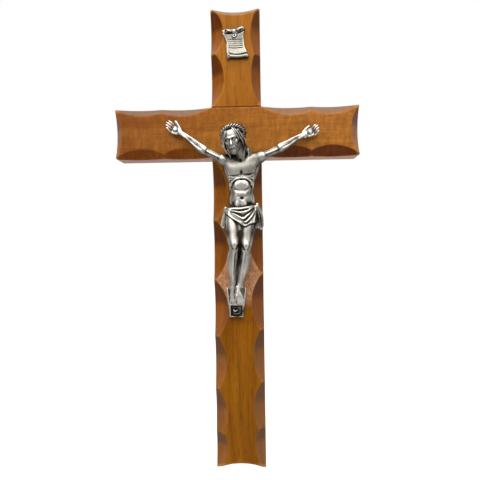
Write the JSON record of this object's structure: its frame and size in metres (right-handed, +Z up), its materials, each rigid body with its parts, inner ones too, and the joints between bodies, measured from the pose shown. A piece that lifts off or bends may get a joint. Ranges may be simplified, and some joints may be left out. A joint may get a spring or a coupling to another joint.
{
  "type": "wall crucifix",
  "caption": "Wall crucifix: scalloped hardwood cross in a halved joint, cast antiqued corpus on nails, small scroll plate, swinging D ring hanger behind.",
  "frame": {"origin": "on the back face of the upright, at the line on which the hanging ring turns, in the middle of the upright's width", "axes": "+Z up along the upright, +X to the right as the viewer sees the front, +Y towards the wall; the front looks along -Y"},
  "size_m": [0.135, 0.0402, 0.254],
  "materials": {
    "stained_wood": "orange-brown stained hardwood, satin lacquer, vertical grain",
    "stained_wood_red": "orange-brown stained hardwood, a little redder, satin lacquer, horizontal grain",
    "antique_silver": "antiqued silver-coloured casting, polished on the high places, dark in the recesses",
    "nail_silver": "silver-coloured, lightly polished",
    "plated_steel": "zinc-plated steel, satin"
  },
  "bodies": {
    "cross": {"upright_beam": "stained_wood", "crossbeam": "stained_wood_red", "corpus": "antique_silver", "left_hand_nail": "nail_silver", "right_hand_nail": "nail_silver", "foot_nail": "nail_silver", "scroll_plate": "antique_silver", "scroll_pin": "nail_silver", "hanger_strap": "plated_steel", "upper_hanger_screw": "plated_steel", "lower_hanger_screw": "plated_steel"},
    "ring": {"hanging_ring": "plated_steel"}
  },
  "joints": [
    {"name": "ring_swing", "type": "hinge", "parent": "cross", "child": "ring", "pos_m": [0, 0.0019, 0], "axis": [1, 0, 0], "range_deg": [0, 180]}
  ]
}
